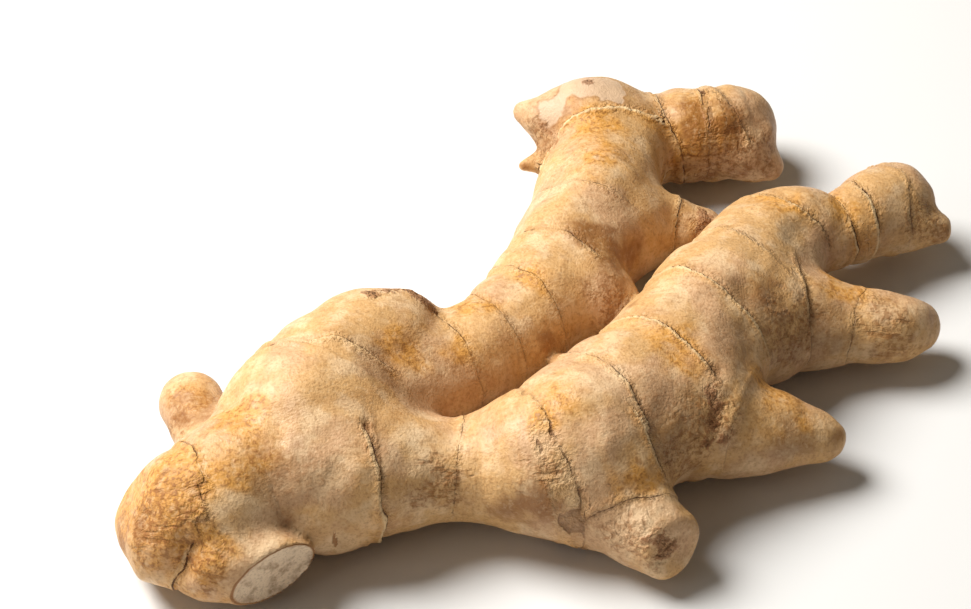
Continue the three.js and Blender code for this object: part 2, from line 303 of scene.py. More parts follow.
# The noises that shape the skin. A layer has the size of its lumps in millimetres, its share and its
# own seed. The warps make the marks ragged, and their shares are of the mark's radius. The wrinkles are
# drawn out along the finger.
LATTICE = 32
NOISES = {
    "stray": ((5.0, 1.0, 1), (1.8, 0.6, 2)),
    "uneven": ((8.0, 0.5, 3), (3.0, 0.3, 4)),
    "lumps": ((9.0, 1.0, 7), (4.2, 0.45, 8)),
    "wrinkles": ((1.0, 1.0, 9),),
    "creases": ((1.6, 0.6, 10),),
    "torn": ((1.5, 0.45, 11), (2.8, 0.3, 12)),
    "flesh": ((1.3, 0.1, 13),),
}
MARK_WARPS = ((4.5, 0.7, 20), (1.6, 0.35, 30))
WRINKLE_RUN = (0.16, 0.62, 0.62)
CORKY_SHARE = 0.5

# The cut face, in millimetres: how near its plane a point counts as on it, where the skin's relief fades
# towards it, where the flesh sinks in from the rim, and how deep a face is all flesh.
FACE_NEAR = 0.15
FACE_FADE = (-1.5, -0.2)
FACE_RIM = (0.2, 2.0)
FLESH_DEPTH = 0.9

# The stage, in metres. A lamp has its place and its size.
FLOOR_SIZE = 3.0
FLOOR_SIDES = 96
LIGHT_AIM = (0.0, 0.0, 0.012)
LAMPS = {
    "key": ((-0.48, 0.16, 0.69), 0.5),
    "fill": ((-0.7, -0.5, 0.6), 0.6),
}


def linear(code):
    """An sRGB hex colour as linear red, green and blue."""
    parts = [int(code[i : i + 2], 16) / 255 for i in (1, 3, 5)]
    return tuple(p / 12.92 if p <= 0.04045 else ((p + 0.055) / 1.055) ** 2.4 for p in parts)


def colour_property(name, description, code):
    """A colour of the panel, given as an sRGB hex colour."""
    return FloatVectorProperty(
        name=name, description=description, default=linear(code), subtype="COLOR", min=0, max=1
    )


class GingerShape(PropertyGroup):
    """Sizes of the skin's relief."""

    grid: FloatProperty(
        name="Mesh spacing", description="Distance between the points of the skin's mesh",
        default=0.75 * MM, min=0.3 * MM, subtype="DISTANCE",
    )
    lip: FloatProperty(
        name="Scar lip", description="Height of the torn skin at the clearest leaf scar",
        default=0.75 * MM, subtype="DISTANCE",
    )
    groove: FloatProperty(
        name="Scar groove", description="Depth of the young skin just past the clearest leaf scar",
        default=0.6 * MM, subtype="DISTANCE",
    )
    ragged: FloatProperty(
        name="Scar raggedness", description="How far a leaf scar strays along the finger",
        default=0.5 * MM, subtype="DISTANCE",
    )
    lumps: FloatProperty(
        name="Lump height", description="Height of the broad uneven lumps",
        default=0.7 * MM, subtype="DISTANCE",
    )
    wrinkles: FloatProperty(
        name="Wrinkle height", description="Height of the lengthwise wrinkles of the drying skin",
        default=0.05 * MM, subtype="DISTANCE",
    )
    sunken: FloatProperty(
        name="Sunken flesh", description="How far the dried flesh of the cut face has sunk in",
        default=0.6 * MM, subtype="DISTANCE",
    )
    seed: IntProperty(name="Seed", description="Draws other lumps and wrinkles", default=7)


class GingerColours(PropertyGroup):
    """Colours of the skin, its marks and the cut flesh."""

    tan: colour_property("Skin", "Clean dry skin", "#cfa36c")
    rose: colour_property("Dusty skin", "Dustier, rosier skin between the scars", "#cba27a")
    # This pale colour also paints highlights where the pale marks lie, on lit tops.
    pale: colour_property("Rubbed skin", "Skin rubbed thin on the high places", "#e5c69c")
    gold: colour_property("Golden skin", "Thin young skin near the scars", "#cd8f38")
    # This brown also paints shade: deep in the folds between fingers, and where the umber marks lie on
    # sides facing away from the light.
    brown: colour_property("Freckles", "Corky brown specks and the dirt in folds", "#8a5626")
    # This colour also paints shade where the dusky marks lie, in dents and grooves and on shaded sides.
    dusk: colour_property("Dusky skin", "Soft greyish brown bruises", "#8f6845")
    crack: colour_property("Crack", "The open crack of a leaf scar", "#5a3418")
    lip: colour_property("Scar lip", "The papery torn edge of a leaf scar", "#edcf9f")
    torn: colour_property("Torn scar", "The reddish, flaky floor of a torn scar", "#94603a")
    peel: colour_property("Peeled skin", "The pale layer under peeled skin", "#e6cbac")
    flesh: colour_property("Cut flesh", "Dried flesh on the cut face", "#e8cfb0")


class GingerStage(PropertyGroup):
    """The floor and the light."""

    floor: colour_property("Floor", "The plain pale floor", "#dedcd8")
    room: colour_property("Room", "Colour of the even light all round", "#fff2e0")
    key: FloatProperty(
        name="Key light", description="Strength of the large soft light above and behind",
        default=14, subtype="POWER",
    )
    fill: FloatProperty(
        name="Fill light", description="Strength of the weak light beside the camera",
        default=0.8, subtype="POWER",
    )
    sky: FloatProperty(
        name="Room light", description="Strength of the even light all round", default=0.13, min=0
    )


class Finger:
    """One finger's spine, with its cross directions and its leaf scars, in millimetres."""

    def __init__(self, spine):
        spine = np.array(spine, float)
        spans = len(spine) - 1
        ends = np.vstack([2 * spine[0] - spine[1], spine, 2 * spine[-1] - spine[-2]])
        place = np.linspace(0, spans, spans * SPAN_STEPS + 1)
        span = np.minimum(place.astype(int), spans - 1)
        t = (place - span)[:, None]
        a, b, c, d = (ends[span + k] for k in range(4))
        curve = 0.5 * (
            2 * b + (c - a) * t + (2 * a - 5 * b + 4 * c - d) * t**2 + (3 * b - a - 3 * c + d) * t**3
        )
        self.points, self.radii = curve[:, :3], curve[:, 3]
        self.runs = np.diff(self.points, axis=0)
        self.sizes = np.linalg.norm(self.runs, axis=1)
        self.along = np.concatenate([[0], np.cumsum(self.sizes)])
        self.length = self.along[-1]
        forward = self.runs / self.sizes[:, None]
        forward = np.vstack([forward[:1], forward[:-1] + forward[1:], forward[-1:]])
        forward /= np.linalg.norm(forward, axis=1)[:, None]
        side = np.cross([0, 0, 1], forward)
        self.side = side / np.linalg.norm(side, axis=1)[:, None]
        self.lift = np.cross(forward, self.side)
        self.scars = []

    def read(self, points):
        """How far each point is outside the finger, the way out, and its place along and across."""
        count = len(points)
        far = np.full(count, BEYOND)
        out = np.zeros((count, 3))
        local = np.zeros((count, 3))
        low = self.points.min(0) - self.radii.max() - NEAR_FINGER
        high = self.points.max(0) + self.radii.max() + NEAR_FINGER
        close = np.flatnonzero(np.all((points > low) & (points < high), axis=1))
        spots = points[close]
        best = np.full(len(spots), BEYOND)
        ways = np.zeros((len(spots), 3))
        places = np.zeros((len(spots), 3))
        last = len(self.runs) - 1
        for i, run in enumerate(self.runs):
            away = spots - self.points[i]
            free = away @ run / self.sizes[i] ** 2
            # Where the finger widens, its surface leans, and belongs to a spot further along the spine.
            lean = (self.radii[i + 1] - self.radii[i]) / self.sizes[i]
            off = np.linalg.norm(away - free[:, None] * run, axis=1)
            free += lean * off / (self.sizes[i] * math.sqrt(max(1 - lean**2, LEAST_LEVEL)))
            share = np.clip(free, 0, 1)
            apart = away - share[:, None] * run
            size = np.linalg.norm(apart, axis=1)
            here = size - (self.radii[i] + (self.radii[i + 1] - self.radii[i]) * share)
            near = here < best
            best[near] = here[near]
            share, apart, size = share[near], apart[near], size[near]
            beyond = (i == 0) & (free[near] < 0) | (i == last) & (free[near] > 1)
            past = np.where(beyond, free[near], share)
            side = self.side[i] + (self.side[i + 1] - self.side[i]) * share[:, None]
            lift = self.lift[i] + (self.lift[i + 1] - self.lift[i]) * share[:, None]
            ways[near] = apart / np.maximum(size, TINY)[:, None]
            places[near, 0] = self.along[i] + past * self.sizes[i]
            places[near, 1] = np.einsum("ij,ij->i", apart, side)
            places[near, 2] = np.einsum("ij,ij->i", apart, lift)
        far[close], out[close], local[close] = best, ways, places
        return far, out, local

    def swollen(self, local):
        """How much thicker the finger is between two leaf scars than its plain radius."""
        stops = [0.0, *sorted(scar[0][0] for scar in self.scars), self.length]
        stops = np.unique(np.clip(stops, 0, self.length))
        along = np.clip(local[:, 0], 0, self.length - END_GAP)
        after = np.clip(np.searchsorted(stops, along, side="right"), 1, len(stops) - 1)
        share = (along - stops[after - 1]) / (stops[after] - stops[after - 1])
        return SWELL * np.interp(along, self.along, self.radii) * np.sin(np.pi * share)

    def past_scar(self, scar, local):
        """How far along the finger each point is past a leaf scar."""
        ring, turns, strays, _ = scar
        turn = np.arctan2(local[:, 2], local[:, 1])
        pull = np.exp((np.cos(turn[:, None] - turns) - 1) / SCAR_BEND)
        return local[:, 0] - ring_rows(turn) @ ring - pull @ strays / np.maximum(pull.sum(1), 1)

    def add_scar(self, clear, spots):
        """Lays a tilted ring near points of the surface, bent to go through them."""
        _, _, local = self.read(spots)
        turns = np.arctan2(local[:, 2], local[:, 1])
        rows = ring_rows(turns)
        cost = np.diag([0.0, TILT_COST, TILT_COST])
        ring = np.linalg.solve(rows.T @ rows + cost, rows.T @ local[:, 0])
        self.scars.append((ring, turns, local[:, 0] - rows @ ring, clear))


def ring_rows(turn):
    """What the place of a tilted ring is worked out from, at each turn round a finger."""
    return np.stack([np.ones_like(turn), np.cos(turn), np.sin(turn)], 1)


def lattice_noise(points, size, seed):
    """Smooth noise between -1 and 1, in lumps about size millimetres across."""
    table = np.random.default_rng(seed).uniform(-1, 1, (LATTICE,) * 3)
    scaled = points / size
    cell = np.floor(scaled).astype(int)
    share = scaled - cell
    share = share * share * (3 - 2 * share)
    total = np.zeros(len(points))
    for corner in product((0, 1), repeat=3):
        weight = np.prod(np.where(corner, share, 1 - share), axis=1)
        x, y, z = ((cell + corner) % LATTICE).T
        total += weight * table[x, y, z]
    return total


def noise(points, name, seed):
    """The sum of the layers of one of the skin's noises."""
    return sum(share * lattice_noise(points, size, seed + own) for size, share, own in NOISES[name])


def smooth(low, high, value):
    """0 below low and 1 above high, with a soft step between."""
    share = np.clip((value - low) / (high - low), 0, 1)
    return share * share * (3 - 2 * share)


def wave(points):
    """The gentle unevenness that the solid has too."""
    x, y, z = points.T
    return sum(
        height * np.sin(x / size + 1) * np.sin(y / size + 2) * np.cos(z / size) for size, height in WAVES
    )


def cut_depth(points, cut):
    """How far each point is past a cut face, and far below it where the cut doesn't reach."""
    middle, looks, wide, _ = cut
    looks = np.array(looks) / np.linalg.norm(looks)
    away = points - middle
    past = away @ looks
    off = np.linalg.norm(away - past[:, None] * looks, axis=1)
    return np.where((off < wide / 2) & (past > -wide), past, -BEYOND), looks


def soft_step(value):
    """0 far below 0 and 1 far above it."""
    return 1 / (1 + np.exp(np.clip(-value, -EXPONENT_LIMIT, EXPONENT_LIMIT)))


def surface(fingers, points):
    """For each point: how far it is outside the joined fingers, the way out, how steep that is, each
    finger's share and reading, and how deep it is in a fold between fingers."""
    with ThreadPoolExecutor() as pool:
        readings = list(pool.map(lambda finger: finger.read(points), fingers.values()))
    far = np.stack([
        reading[0] - finger.swollen(reading[2]) for finger, reading in zip(fingers.values(), readings)
    ])
    crisp = np.array([name in CRISP for name in fingers])
    nearest = far[~crisp].min(0)
    weight = np.where(crisp[:, None], 0, np.exp((nearest - far) / BLEND))
    total = weight.sum(0)
    weight /= total
    fold = BLEND * np.log(total)
    joined = nearest - fold
    for i in np.flatnonzero(crisp):
        share = soft_step((joined - far[i]) / CRISP_BLEND)
        more = -CRISP_BLEND * np.log(np.maximum(1 - share, share))
        fold = fold + more
        joined = np.minimum(joined, far[i]) - more
        weight = weight * (1 - share)
        weight[i] = share
    slope = sum(share[:, None] * reading[1] for share, reading in zip(weight, readings))
    steep = np.linalg.norm(slope, axis=1)
    value = joined - wave(points)
    out = slope / np.maximum(steep, TINY)[:, None]
    return value, out, np.maximum(steep, LEAST_STEEP), weight, readings, fold


def settle(fingers, points):
    """Moves points onto the joined fingers, trimmed by the cut faces."""
    for _ in range(SETTLE_ROUNDS):
        value, out, steep, *_ = surface(fingers, points)
        value = value / steep
        for cut in CUTS.values():
            past, looks = cut_depth(points, cut)
            edge = cut[3]
            share = soft_step((past - value) / edge)
            value = np.logaddexp(value / edge, past / edge) * edge
            out = out * (1 - share[:, None]) + looks * share[:, None]
            out /= np.linalg.norm(out, axis=1)[:, None]
        points = points - value[:, None] * out
    return points


def relaxed(points, edges):
    """Moves each point towards the middle of its neighbours."""
    count = len(points)
    ends = np.concatenate([edges[:, 0], edges[:, 1]])
    others = np.concatenate([edges[:, 1], edges[:, 0]])
    number = np.bincount(ends, minlength=count)
    middle = np.stack(
        [np.bincount(ends, weights=points[others, k], minlength=count) / number for k in range(3)], 1
    )
    return points + RELAX_SHARE * (middle - points)


def photo_ray(pixel):
    """The camera's place and the direction in which it sees a pixel of the photograph."""
    focal = CAMERA_LENS / CAMERA_SENSOR * PHOTO_WIDE
    right = Vector((1, 0, 0))
    ahead = Vector((0, math.cos(CAMERA_TILT), -math.sin(CAMERA_TILT)))
    above = Vector((0, math.sin(CAMERA_TILT), math.cos(CAMERA_TILT)))
    across = (pixel[0] - PHOTO_WIDE / 2) / focal
    down = (pixel[1] - PHOTO_HIGH / 2) / focal
    return Vector(CAMERA_PLACE), (ahead + across * right - down * above).normalized()


def spot_at(pixel):
    """The point of the solid that the photograph shows at a pixel, in millimetres."""
    origin, direction = photo_ray(pixel)
    hit, place, _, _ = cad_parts[NODE].ray_cast(origin, direction)
    if not hit:
        raise RuntimeError(f"pixel {pixel} of the photograph misses the root")
    return np.array(place) / MM


def fine_mesh(grid):
    """An even fine mesh of the solid."""
    copy = bpy.data.objects.new("root_grid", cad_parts[NODE].data.copy())
    bpy.context.scene.collection.objects.link(copy)
    remesh = copy.modifiers.new("Grid", "REMESH")
    remesh.mode = "VOXEL"
    remesh.voxel_size = grid
    bpy.context.view_layer.update()
    mesh = bpy.data.meshes.new_from_object(copy.evaluated_get(bpy.context.evaluated_depsgraph_get()))
    bpy.data.objects.remove(copy)
    return mesh


def grown_fingers():
    """The fingers with the leaf scars that the photograph shows."""
    fingers = {name: Finger(spine) for name, spine in SPINES.items()}
    for name, clear, pixels in LEAF_SCARS:
        fingers[name].add_scar(clear, np.array([spot_at(pixel) for pixel in pixels]))
    return fingers


def scar_readings(fingers, points, edges, weight, readings, shape):
    """For each point: how far it is past the leaf scar that shows most there, how clear that scar is,
    how far all the scars raise the skin, and their tints on the older and on the younger side."""
    runs = np.maximum(np.linalg.norm(points[edges[:, 0]] - points[edges[:, 1]], axis=1), TINY)
    ends, number = edges.ravel(), np.bincount(edges.ravel())
    stray = shape.ragged / MM * noise(points, "stray", shape.seed)
    uneven = np.clip(EVEN_CLEAR + noise(points, "uneven", shape.seed), *CLEAR_RANGE)
    past = np.full(len(points), BEYOND)
    clear, raised, older, younger = np.zeros((4, len(points)))
    strongest = np.zeros(len(points))
    for share, finger, (_, _, local) in zip(weight, fingers.values(), readings):
        radius = np.interp(local[:, 0], finger.along, finger.radii)
        slim = np.clip(radius / FULL_RADIUS, LEAST_SLIM, 1)
        for scar in finger.scars:
            here = finger.past_scar(scar, local)
            # Divided by its own slope on the mesh, the reading is a true distance over the skin.
            rise = ((here[edges[:, 0]] - here[edges[:, 1]]) / runs) ** 2
            slope = np.sqrt(2 * np.bincount(ends, weights=np.repeat(rise, 2)) / number)
            here = here / np.clip(slope, LEAST_SLOPE, 1) - stray
            shown = scar[3] * smooth(*OWN_SHARE, share) * uneven
            step = smooth(-SCAR_STEP, SCAR_STEP, here)
            lip = shape.lip * (1 - step) * np.clip(1 + here / SCAR_REACH, 0, 1) ** 2
            groove = shape.groove * step * np.clip(1 - here / SCAR_REACH, 0, 1) ** 2
            raised += shown * slim * (lip - groove) / MM
            band = shown * np.exp(-np.abs(here) / SCAR_BAND)
            older += band * (1 - step)
            younger += band * step
            strength = shown * np.exp(-np.abs(here))
            near = strength > strongest
            strongest[near] = strength[near]
            past[near] = here[near]
            clear[near] = (shown * smooth(SCAR_REACH, SCAR_FADE * SCAR_REACH, np.abs(here)))[near]
    return past, clear, raised, np.minimum(older, 1), np.minimum(younger, 1)


def mark_readings(points, seed):
    """For each point: how much of each kind of mark it has, and how far the marks raise it."""
    amount = {kind: np.zeros(len(points)) for kind in KINDS}
    raised = np.zeros(len(points))
    warp = sum(
        share * np.stack([lattice_noise(points, size, seed + own + k) for k in range(3)], 1)
        for size, share, own in MARK_WARPS
    )
    for kind, marks in MARKS.items():
        for pixel, radius, height in marks:
            away = points - spot_at(pixel)
            raised += height * np.exp(-((np.linalg.norm(away, axis=1) / radius) ** 2))
            if kind in amount:
                amount[kind] += np.exp(-((np.linalg.norm(away + radius * warp, axis=1) / radius) ** 2))
    return {kind: np.minimum(share, 1) for kind, share in amount.items()}, raised


def kept_inside(points, box):
    """Eases the points that come near the sides of a box, so that none is past them."""
    low, high = (np.array(corner) / MM for corner in box)
    above = np.maximum(points - (high - BOX_EASE), 0)
    below = np.maximum(low + BOX_EASE - points, 0)
    below[:, 2] = 0
    points = points - above + BOX_EASE * np.tanh(above / BOX_EASE)
    points = points + below - BOX_EASE * np.tanh(below / BOX_EASE)
    points[:, 2] = np.maximum(points[:, 2], 0)
    return points


def grow_skin(shape):
    """The skin's mesh, with what its material reads at each point."""
    mesh = fine_mesh(shape.grid)
    count = len(mesh.vertices)
    flat = np.empty(count * 3)
    mesh.vertices.foreach_get("co", flat)
    points = flat.reshape(-1, 3) / MM
    ends = np.empty(len(mesh.edges) * 2, int)
    mesh.edges.foreach_get("vertices", ends)
    edges = ends.reshape(-1, 2)

    fingers = grown_fingers()
    for _ in range(RELAX_ROUNDS):
        points = settle(fingers, relaxed(points, edges))

    # The relief of the scars, the marks, the lumps and the wrinkles.
    seed = shape.seed
    value, out, _, weight, readings, fold = surface(fingers, points)
    grain = sum(share[:, None] * reading[2] for share, reading in zip(weight, readings))
    past, clear, relief, older, younger = scar_readings(fingers, points, edges, weight, readings, shape)
    amount, raised = mark_readings(points, seed)
    relief += raised
    relief += shape.lumps / MM * noise(points, "lumps", seed)
    wrinkled = noise(grain * WRINKLE_RUN, "wrinkles", seed) + noise(points, "creases", seed)
    relief += shape.wrinkles / MM * wrinkled
    relief += np.maximum(amount["torn"], CORKY_SHARE * amount["corky"]) * noise(points, "torn", seed)

    # The cut face has no skin: its flesh has sunk in from the rim.
    face, looks = cut_depth(points, CUTS["stub"])
    inside = -value
    on_face = face > -FACE_NEAR
    flesh = np.where(on_face, inside, np.clip(face, -BEYOND, 0))
    relief *= 1 - smooth(*FACE_FADE, face)
    points = points + relief[:, None] * out
    sunk = shape.sunken / MM * smooth(*FACE_RIM, inside) + noise(points, "flesh", seed)
    points -= np.where(on_face, sunk, 0)[:, None] * looks
    points = kept_inside(points, CAD_BOX)

    mesh.vertices.foreach_set("co", (points * MM).ravel())
    mesh.polygons.foreach_set("use_smooth", np.ones(len(mesh.polygons), bool))
    readouts = {
        "scar_past": np.clip(past, -SCAR_TINT, SCAR_TINT),
        "scar_clear": clear,
        "older": older,
        "younger": younger,
        "fold": fold,
        "flesh": flesh,
        **amount,
    }
    for name, values in readouts.items():
        layer = mesh.attributes.new(name, "FLOAT", "POINT")
        layer.data.foreach_set("value", values.astype(np.float32))
    layer = mesh.attributes.new("grain", "FLOAT_VECTOR", "POINT")
    layer.data.foreach_set("vector", grain.astype(np.float32).ravel())
    mesh.update()
    return mesh


def add(tree, kind, inputs=None, **settings):
    """Adds one shader node, with its settings, and its inputs as values or as links from sockets."""
    made = tree.nodes.new("ShaderNode" + kind)
    for name, value in settings.items():
        setattr(made, name, value)
    for key, value in (inputs or {}).items():
        if isinstance(value, bpy.types.NodeSocket):
            tree.links.new(value, made.inputs[key])
        else:
            made.inputs[key].default_value = value
    return made


def per_mm(size):
    """The scale that makes a pattern's features about size millimetres across."""
    return 1 / (size * MM)


def new_material(name):
    """An empty material with a Principled shader."""
    material = bpy.data.materials.new(name)
    material.use_nodes = True
    tree = material.node_tree
    tree.nodes.clear()
    shader = add(tree, "BsdfPrincipled")
    add(tree, "OutputMaterial", {"Surface": shader.outputs[0]})
    return material, tree, shader


def rgba(colour):
    """A colour as a shader's socket takes it."""
    return (*colour, 1.0)


def skin_material(colours):
    """Ginger skin, a thin cork layer dried on the root. It gives a satin tan surface with a fine
    grain, golden where it is thin, cracked and papery at each leaf scar. Highlights on some lit tops,
    and shade in the folds, dents and on sides facing away from the light, are painted into its colour."""
    material, tree, shader = new_material("ginger skin, dried cork")
    read = {
        name: add(tree, "Attribute", attribute_name=name).outputs["Fac"]
        for name in ("scar_past", "scar_clear", "older", "younger", "fold", "flesh", *KINDS)
    }

    # Patterns that only vary the look, by the size of their features in millimetres, then faint rings
    # round the finger and streaks along it.
    place = add(tree, "TexCoord").outputs["Object"]
    for name, size in {"cloud": 17.0, "mottle": 6.0, "blotch": 2.6, "speck": 1.0, "pore": 0.5}.items():
        inputs = {"Vector": place, "Scale": per_mm(size), "Detail": 3.0}
        read[name] = add(tree, "TexNoise", inputs).outputs["Fac"]
    grain = add(tree, "Attribute", attribute_name="grain").outputs["Vector"]
    for name, drawn in {"rings": (1.1, 0.12, 0.12), "streaks": (0.12, 0.9, 0.9)}.items():
        spread = add(tree, "Mapping", {"Vector": grain, "Scale": drawn}).outputs[0]
        inputs = {"Vector": spread, "Scale": 1.0, "Detail": 2.0}
        read[name] = add(tree, "TexNoise", inputs).outputs["Fac"]

    # Sums: a start, and how much of each reading is added to it.
    sums = {
        "frayed": (-0.45, (("scar_past", 1.0), ("speck", 0.4), ("blotch", 0.5))),
        "gilt": (-0.55, (
            ("gold", 0.9), ("older", 0.7), ("younger", 0.35), ("mottle", 0.8), ("cloud", 0.6),
        )),
        "peeled": (-0.55, (("peel", 1.0), ("blotch", 0.7), ("mottle", 0.4))),
        "ripped": (-0.7, (("torn", 1.0), ("speck", 0.8), ("blotch", 0.6))),
        "matt": (0.0, (
            ("blotch", 0.6), ("torn", 0.6), ("dark", 0.5), ("corky", 0.35), ("younger", 0.2),
        )),
    }
    for name, (total, parts) in sums.items():
        for part, share in parts:
            inputs = {0: read[part], 1: share, 2: total}
            total = add(tree, "Math", inputs, operation="MULTIPLY_ADD").outputs[0]
        read[name] = total

    # Masks: the most that each covers, and its soft steps. A step has what is read, where it starts
    # and where it is full.
    masks = {
        "dusty": (0.85, ("cloud", 0.45, 0.6)),
        "rubbed": (0.6, ("mottle", 0.46, 0.66)),
        # Painted highlight: the pale colour where the pale marks lie, on lit tops.
        "painted_highlight": (0.6, ("pale", 0.05, 0.9), ("mottle", 0.25, 0.55)),
        "shaded": (0.4, ("younger", 0.0, 0.8), ("mottle", 0.3, 0.6)),
        "golden": (0.8, ("gilt", 0.25, 1.1), ("blotch", 0.2, 0.5)),
        # Partly greyish brown skin, partly painted shade in dents, grooves and on shaded sides.
        "dusky_and_painted_shade": (0.5, ("dusky", 0.05, 0.9)),
        # Partly brown skin, partly painted shade on sides facing away from the light.
        "umber_and_painted_shade": (0.75, ("umber", 0.05, 1.0), ("mottle", 0.25, 0.5)),
        "corked": (0.38, ("corky", 0.05, 0.7), ("mottle", 0.35, 0.6)),
        "corky_flecks": (0.4, ("corky", 0.02, 0.5), ("speck", 0.48, 0.62)),
        "golden_flecks": (0.5, ("gilt", 0.3, 1.2), ("speck", 0.5, 0.64)),
        "lengthwise": (0.45, ("corky", 0.0, 0.5), ("streaks", 0.5, 0.66)),
        "ringed": (0.16, ("rings", 0.5, 0.66), ("fold", 0.8, 0.3)),
        "dotted": (0.22, ("speck", 0.5, 0.68)),
        "bleached": (0.25, ("speck", 0.46, 0.3)),
        "pored": (0.2, ("pore", 0.5, 0.68)),
        # Painted shade: brown deepening in the folds between fingers.
        "painted_fold_shade": (0.3, ("fold", 0.9, 2.0)),
        "peel_rim": (0.4, ("peeled", 0.26, 0.42), ("peel", 0.05, 0.15)),
        "bared": (0.5, ("peeled", 0.38, 0.6), ("peel", 0.1, 0.2)),
        "torn_floor": (0.65, ("ripped", 0.25, 0.5), ("torn", 0.08, 0.3)),
        "torn_pits": (0.4, ("ripped", 0.5, 0.85), ("pore", 0.42, 0.55)),
        "darkened": (0.65, ("dark", 0.1, 1.0)),
        "lipped": (0.75, ("frayed", -1.15, -0.5), ("frayed", 0.0, -0.12), ("scar_clear", 0.3, 1.0)),
        "cracked": (
            0.95, ("frayed", -0.1, 0.05), ("frayed", 0.4, 0.15), ("scar_clear", 0.1, 0.7),
            ("blotch", 0.34, 0.46),
        ),
        "worn": (1.0, ("scar_past", -3.0, -0.4), ("scar_past", 2.4, 0.4), ("scar_clear", 0.0, 0.6)),
        "flaky": (1.0, ("worn", 0.0, 1.0), ("speck", 0.35, 0.65)),
        "crusty": (1.0, ("corky", 0.0, 0.8), ("speck", 0.35, 0.65)),
        "ragged": (1.0, ("torn", 0.0, 0.8), ("speck", 0.35, 0.65)),
        "cut_edge": (0.8, ("flesh", -0.1, 0.1), ("flesh", 0.6, 0.3)),
        "cut_inside": (1.0, ("flesh", 0.3, 0.7)),
    }
    for name, (amount, *steps) in masks.items():
        for part, low, high in steps:
            inputs = {"Value": read[part], "From Min": low, "From Max": high, "To Max": amount}
            amount = add(tree, "MapRange", inputs, interpolation_type="SMOOTHSTEP").outputs[0]
        read[name] = amount

    # Each colour covers what is below it, as far as its mask says.
    layers = (
        (colours.rose, "dusty"), (colours.pale, "rubbed"), (colours.brown, "shaded"),
        (colours.gold, "golden"), (colours.dusk, "dusky_and_painted_shade"), (colours.brown, "umber_and_painted_shade"),
        (colours.brown, "corked"), (colours.brown, "corky_flecks"), (colours.brown, "golden_flecks"),
        (colours.pale, "painted_highlight"), (colours.brown, "lengthwise"), (colours.brown, "ringed"),
        (colours.brown, "dotted"), (colours.pale, "bleached"), (colours.brown, "pored"),
        (colours.brown, "painted_fold_shade"), (colours.brown, "peel_rim"), (colours.peel, "bared"),
        (colours.torn, "torn_floor"), (colours.crack, "torn_pits"), (colours.brown, "darkened"),
        (colours.lip, "lipped"), (colours.crack, "cracked"), (colours.brown, "cut_edge"),
    )
    colour = rgba(colours.tan)
    for over, mask in layers:
        colour = add(tree, "Mix", {0: read[mask], 6: colour, 7: rgba(over)}, data_type="RGBA").outputs[2]
    inside = {0: read["cut_inside"], 6: colour, 7: flesh_colour(tree, colours, place)}
    colour = add(tree, "Mix", inside, data_type="RGBA").outputs[2]
    tree.links.new(colour, shader.inputs["Base Color"])

    matt = {"Value": read["matt"], "From Min": 0.2, "From Max": 1.2, "To Min": 0.42, "To Max": 0.85}
    tree.links.new(add(tree, "MapRange", matt).outputs[0], shader.inputs["Roughness"])
    shader.inputs["Specular IOR Level"].default_value = 0.3
    shader.inputs["IOR"].default_value = 1.45

    # How far each raises the skin, in millimetres.
    heights = (
        ("pore", 0.09), ("speck", 0.1), ("blotch", 0.2), ("rings", 0.06), ("flaky", 0.15),
        ("crusty", 0.08), ("ragged", 0.4), ("lengthwise", -0.3), ("bared", -0.12), ("cracked", -0.4),
    )
    total = 0.0
    for name, height in heights:
        inputs = {0: read[name], 1: height, 2: total}
        total = add(tree, "Math", inputs, operation="MULTIPLY_ADD").outputs[0]
    bump = add(tree, "Bump", {"Strength": 1.0, "Distance": MM, "Height": total}).outputs[0]
    tree.links.new(bump, shader.inputs["Normal"])
    return material


def flesh_colour(tree, colours, place):
    """The dried flesh's colour: pale, with browner patches and fine fibre ends."""
    # Each pattern has its size in millimetres, where it starts and is full, its most, and its colour.
    patterns = (
        (3.0, 0.45, 0.65, 0.55, colours.dusk),
        (0.8, 0.5, 0.66, 0.5, colours.peel),
        (0.6, 0.48, 0.34, 0.3, colours.dusk),
    )
    colour = rgba(colours.flesh)
    for size, low, high, most, over in patterns:
        inputs = {"Vector": place, "Scale": per_mm(size), "Detail": 3.0}
        spread = add(tree, "TexNoise", inputs).outputs["Fac"]
        inputs = {"Value": spread, "From Min": low, "From Max": high, "To Max": most}
        mask = add(tree, "MapRange", inputs, interpolation_type="SMOOTHSTEP").outputs[0]
        colour = add(tree, "Mix", {0: mask, 6: colour, 7: rgba(over)}, data_type="RGBA").outputs[2]
    return colour


def flesh_material(colours):
    """Ginger flesh, cut with a knife and dried. It gives a flat, pale, fibrous face with no shine."""
    material, tree, shader = new_material("ginger flesh, knife-cut and dried")
    place = add(tree, "TexCoord").outputs["Object"]
    tree.links.new(flesh_colour(tree, colours, place), shader.inputs["Base Color"])
    shader.inputs["Roughness"].default_value = 0.75
    shader.inputs["Specular IOR Level"].default_value = 0.3
    grit = add(tree, "TexNoise", {"Vector": place, "Scale": per_mm(0.6), "Detail": 3.0}).outputs["Fac"]
    bump = add(tree, "Bump", {"Strength": 1.0, "Distance": 0.25 * MM, "Height": grit}).outputs[0]
    tree.links.new(bump, shader.inputs["Normal"])
    return material


def floor_material(colour):
    """Matt seamless paper. It gives an even pale ground with soft shadows."""
    material, tree, shader = new_material("studio paper, matt")
    place = add(tree, "TexCoord").outputs["Object"]
    tooth = add(tree, "TexNoise", {"Vector": place, "Scale": per_mm(0.6), "Detail": 2.0}).outputs["Fac"]
    bump = add(tree, "Bump", {"Strength": 0.2, "Distance": 0.02 * MM, "Height": tooth}).outputs[0]
    tree.links.new(bump, shader.inputs["Normal"])
    shader.inputs["Base Color"].default_value = rgba(colour)
    shader.inputs["Roughness"].default_value = 0.9
    shader.inputs["Specular IOR Level"].default_value = 0.1
    return material


